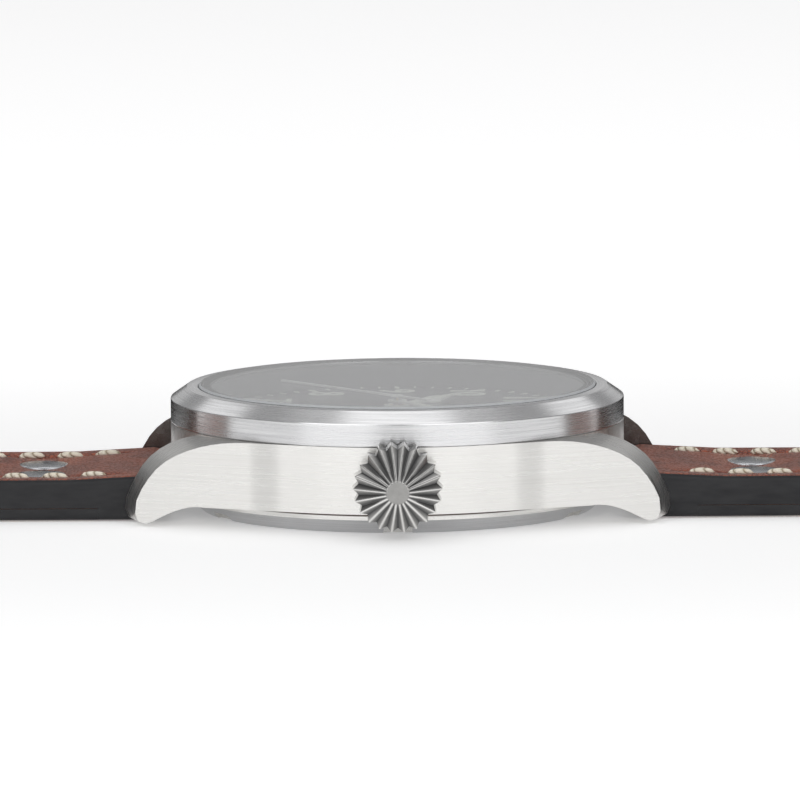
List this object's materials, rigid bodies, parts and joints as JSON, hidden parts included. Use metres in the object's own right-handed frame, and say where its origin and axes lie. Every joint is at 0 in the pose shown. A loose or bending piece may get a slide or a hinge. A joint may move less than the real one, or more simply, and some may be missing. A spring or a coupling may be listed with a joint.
{
  "type": "wristwatch",
  "caption": "Automatic pilot-style wristwatch: round steel case with lugs and fluted crown, on a riveted and stitched leather strap with a pin buckle.",
  "frame": {"origin": "centre of the flat face of the case back", "axes": "+X to the crown at three o'clock, +Y to twelve o'clock along the strap, +Z out of the dial"},
  "size_m": [0.0469, 0.2475, 0.0115],
  "materials": {
    "brushed_case": "brushed, with polished edges",
    "polished_case": "polished",
    "crystal": "clear",
    "seal_rubber": "matt",
    "dial_black": "matt black lacquer",
    "hand_white": "matt white on polished steel",
    "holder_plastic": "matt",
    "plate_nickel": "nickel plated",
    "wheel_brass": "gilt",
    "pinion_steel": "polished",
    "spring_alloy": "satin",
    "ruby": "polished",
    "leather_brown": "grained, with black painted edges and cream thread",
    "leather_tan": "smooth lining"
  },
  "bodies": {
    "case": {"case_middle": "brushed_case", "bezel": "polished_case", "crystal": "crystal", "dial_ring": "dial_black", "caseback": "polished_case", "case_gaskets": "seal_rubber", "spring_bars": "brushed_case", "crown_tube": "polished_case", "movement_ring": "holder_plastic", "main_plate": "plate_nickel", "barrel_bridge": "plate_nickel", "train_bridge": "plate_nickel", "balance_cock": "plate_nickel", "pallet_cock": "plate_nickel", "jewels": "ruby", "rotor_bearing": "pinion_steel", "automatic_bridge": "plate_nickel", "movement_screws": "pinion_steel", "dial": "dial_black", "hairspring": "spring_alloy"},
    "minute": {"centre_wheel": "wheel_brass", "cannon_pinion": "pinion_steel", "minute_hand": "hand_white"},
    "hour": {"hour_wheel": "wheel_brass", "hour_hand": "hand_white"},
    "motion": {"minute_wheel": "wheel_brass"},
    "setting": {"setting_wheel": "pinion_steel"},
    "third": {"third_wheel": "wheel_brass"},
    "fourth": {"fourth_wheel": "wheel_brass", "seconds_hand": "hand_white"},
    "escape": {"escape_wheel": "pinion_steel"},
    "barrel_drum": {"barrel": "wheel_brass", "mainspring": "spring_alloy"},
    "winding": {"winding_pinion": "pinion_steel"},
    "stem": {"winding_stem": "pinion_steel", "crown": "polished_case", "crown_gasket": "seal_rubber"},
    "clutch": {"sliding_clutch": "pinion_steel"},
    "crown_wheel_turning": {"crown_wheel": "pinion_steel"},
    "ratchet": {"ratchet_wheel": "pinion_steel", "barrel_arbor": "pinion_steel"},
    "reduction": {"reduction_wheel": "wheel_brass"},
    "reverser_out": {"reverser_pinion": "pinion_steel"},
    "rotor_weight": {"rotor": "wheel_brass"},
    "reverser_in": {"reverser_wheel": "wheel_brass"},
    "balance_wheel": {"balance": "wheel_brass"},
    "lever": {"pallet_fork": "pinion_steel", "pallet_stones": "ruby"},
    "click_lever": {"click": "pinion_steel"},
    "short_half": {"strap_short": "leather_brown", "lining_short": "leather_tan", "rivets_short": "polished_case", "fixed_keeper": "leather_brown"},
    "long_half": {"strap_long": "leather_brown", "lining_long": "leather_tan", "rivets_long": "polished_case"},
    "buckle": {"buckle_frame": "polished_case", "buckle_bar": "brushed_case"},
    "tongue": {"buckle_tongue": "polished_case"},
    "loose_keeper": {"floating_keeper": "leather_brown"}
  },
  "joints": [
    {"name": "minute_turn", "type": "hinge", "parent": "case", "child": "minute", "pos_m": [0, 0, 0.00406], "axis": [0, 0, 1], "continuous": true},
    {"name": "hour_turn", "type": "hinge", "parent": "case", "child": "hour", "pos_m": [0, 0, 0.00645], "axis": [0, 0, 1], "continuous": true},
    {"name": "minute_wheel_turn", "type": "hinge", "parent": "case", "child": "motion", "pos_m": [0.00208, -0.0012, 0.00625], "axis": [0, 0, 1], "continuous": true},
    {"name": "setting_wheel_turn", "type": "hinge", "parent": "case", "child": "setting", "pos_m": [0.0046, -0.00023, 0.00625], "axis": [0, 0, 1], "continuous": true},
    {"name": "third_turn", "type": "hinge", "parent": "case", "child": "third", "pos_m": [-0.00417, -0.00036, 0.00379], "axis": [0, 0, 1], "continuous": true},
    {"name": "seconds_turn", "type": "hinge", "parent": "case", "child": "fourth", "pos_m": [0, 0, 0.00352], "axis": [0, 0, 1], "continuous": true},
    {"name": "escape_turn", "type": "hinge", "parent": "case", "child": "escape", "pos_m": [-0.00181, -0.00389, 0.0043], "axis": [0, 0, 1], "continuous": true},
    {"name": "barrel_turn", "type": "hinge", "parent": "case", "child": "barrel_drum", "pos_m": [0.00154, 0.00575, 0.00427], "axis": [0, 0, 1], "continuous": true},
    {"name": "crown_turn", "type": "hinge", "parent": "case", "child": "winding", "pos_m": [0.00845, 0, 0.00475], "axis": [1, 0, 0], "continuous": true},
    {"name": "crown_pull", "type": "slide", "parent": "winding", "child": "stem", "axis": [1, 0, 0], "range_m": [0, 0.0009]},
    {"name": "clutch_slide", "type": "slide", "parent": "winding", "child": "clutch", "axis": [1, 0, 0], "range_m": [-0.0006, 0]},
    {"name": "crown_wheel_turn", "type": "hinge", "parent": "case", "child": "crown_wheel_turning", "pos_m": [0.0068, 0, 0.00295], "axis": [0, 0, 1], "continuous": true},
    {"name": "ratchet_turn", "type": "hinge", "parent": "case", "child": "ratchet", "pos_m": [0.00154, 0.00575, 0.00295], "axis": [0, 0, 1], "continuous": true},
    {"name": "reduction_turn", "type": "hinge", "parent": "case", "child": "reduction", "pos_m": [-0.00274, 0.00511, 0.00295], "axis": [0, 0, 1], "continuous": true},
    {"name": "reverser_pinion_turn", "type": "hinge", "parent": "case", "child": "reverser_out", "pos_m": [-0.00283, 0.00223, 0.00215], "axis": [0, 0, 1], "continuous": true},
    {"name": "rotor_turn", "type": "hinge", "parent": "case", "child": "rotor_weight", "pos_m": [0, 0, 0.0012], "axis": [0, 0, 1], "continuous": true},
    {"name": "reverser_wheel_turn", "type": "hinge", "parent": "case", "child": "reverser_in", "pos_m": [-0.00283, 0.00223, 0.0014], "axis": [0, 0, 1], "continuous": true},
    {"name": "balance_swing", "type": "hinge", "parent": "case", "child": "balance_wheel", "pos_m": [0.00417, -0.00668, 0.0036], "axis": [0, 0, 1], "range_deg": [-270, 270]},
    {"name": "lever_rock", "type": "hinge", "parent": "case", "child": "lever", "pos_m": [0.00068, -0.00505, 0.0043], "axis": [0, 0, 1], "range_deg": [-5, 5]},
    {"name": "click_lift", "type": "hinge", "parent": "case", "child": "click_lever", "pos_m": [0.00404, 0.01045, 0.00295], "axis": [0, 0, 1], "range_deg": [0, 8]},
    {"name": "short_strap_hinge", "type": "hinge", "parent": "case", "child": "short_half", "pos_m": [0, 0.023, 0.00215], "axis": [1, 0, 0], "range_deg": [-95, 30]},
    {"name": "long_strap_hinge", "type": "hinge", "parent": "case", "child": "long_half", "pos_m": [0, -0.023, 0.00215], "axis": [-1, 0, 0], "range_deg": [-95, 30]},
    {"name": "buckle_hinge", "type": "hinge", "parent": "short_half", "child": "buckle", "pos_m": [0, 0.098, 0.0024], "axis": [1, 0, 0], "range_deg": [-60, 25]},
    {"name": "tongue_hinge", "type": "hinge", "parent": "buckle", "child": "tongue", "pos_m": [0, 0.098, 0.0024], "axis": [1, 0, 0], "range_deg": [0, 95]},
    {"name": "keeper_slide", "type": "slide", "parent": "short_half", "child": "loose_keeper", "axis": [0, 1, 0], "range_m": [-0.006, 0.008]}
  ],
  "couplings": [
    {"joint": "hour_turn", "follows": "minute_turn", "ratio": 0.083333},
    {"joint": "minute_wheel_turn", "follows": "minute_turn", "ratio": -0.33333},
    {"joint": "setting_wheel_turn", "follows": "minute_turn", "ratio": 0.66667},
    {"joint": "third_turn", "follows": "minute_turn", "ratio": -8},
    {"joint": "seconds_turn", "follows": "minute_turn", "ratio": 60},
    {"joint": "escape_turn", "follows": "minute_turn", "ratio": -600},
    {"joint": "barrel_turn", "follows": "minute_turn", "ratio": -0.16667},
    {"joint": "crown_wheel_turn", "follows": "crown_turn", "ratio": 0.42857},
    {"joint": "ratchet_turn", "follows": "crown_turn", "ratio": -0.4375},
    {"joint": "reduction_turn", "follows": "crown_turn", "ratio": 3.5},
    {"joint": "reverser_pinion_turn", "follows": "crown_turn", "ratio": -17.5},
    {"joint": "clutch_slide", "follows": "crown_pull", "ratio": -0.66667},
    {"joint": "reverser_wheel_turn", "follows": "rotor_turn", "ratio": -1}
  ]
}
